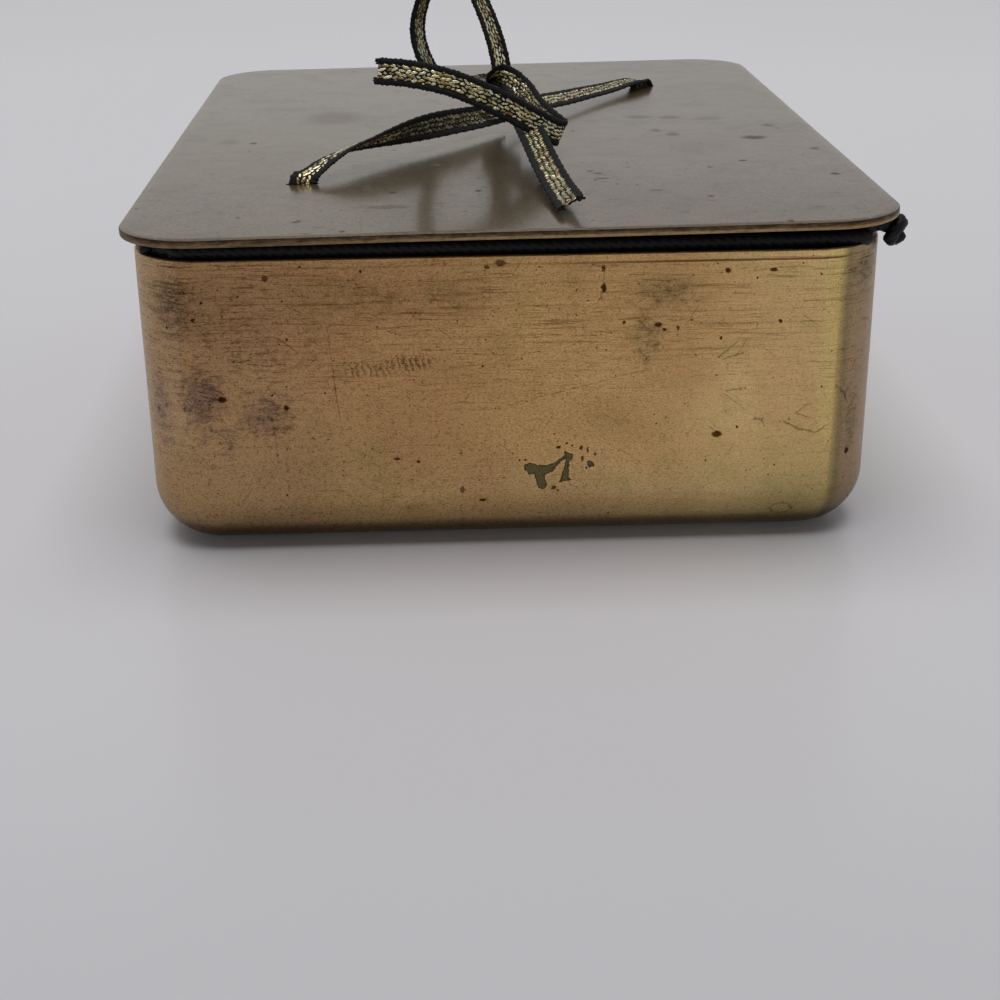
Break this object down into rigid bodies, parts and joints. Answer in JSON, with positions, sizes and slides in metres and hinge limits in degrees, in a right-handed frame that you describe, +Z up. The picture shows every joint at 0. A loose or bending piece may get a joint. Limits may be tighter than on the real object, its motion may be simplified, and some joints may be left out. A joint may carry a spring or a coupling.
{
  "type": "trinket box",
  "caption": "Rectangular drawn brass trinket box with rounded corners, black lining and cord edge, and a flat lift-off lid pulled by a woven ribbon bow.",
  "frame": {"origin": "centre of the flat floor's underside, on the surface that the box stands on", "axes": "+X to the right across the front, +Y from the front to the back along the box's length, +Z up"},
  "size_m": [0.0838, 0.113, 0.0565],
  "materials": {
    "aged_brass": "aged and lightly brushed, golden brown with dark tarnish",
    "lid_brass": "satin, taupe, lightly scuffed",
    "black_velvet": "short black pile over card",
    "black_cord": "twisted black cord",
    "black_gold_ribbon": "woven, gold zigzag between black selvedges"
  },
  "bodies": {
    "box": {"box_body": "aged_brass", "wall_lining": "black_velvet", "base_pad": "black_velvet", "edge_cord": "black_cord"},
    "lid": {"lid_plate": "lid_brass", "lid_panel": "black_velvet", "ribbon_bow": "black_gold_ribbon"}
  },
  "joints": [
    {"name": "lid_lift", "type": "slide", "parent": "box", "child": "lid", "axis": [0, 0, 1], "range_m": [0, 0.06]}
  ]
}
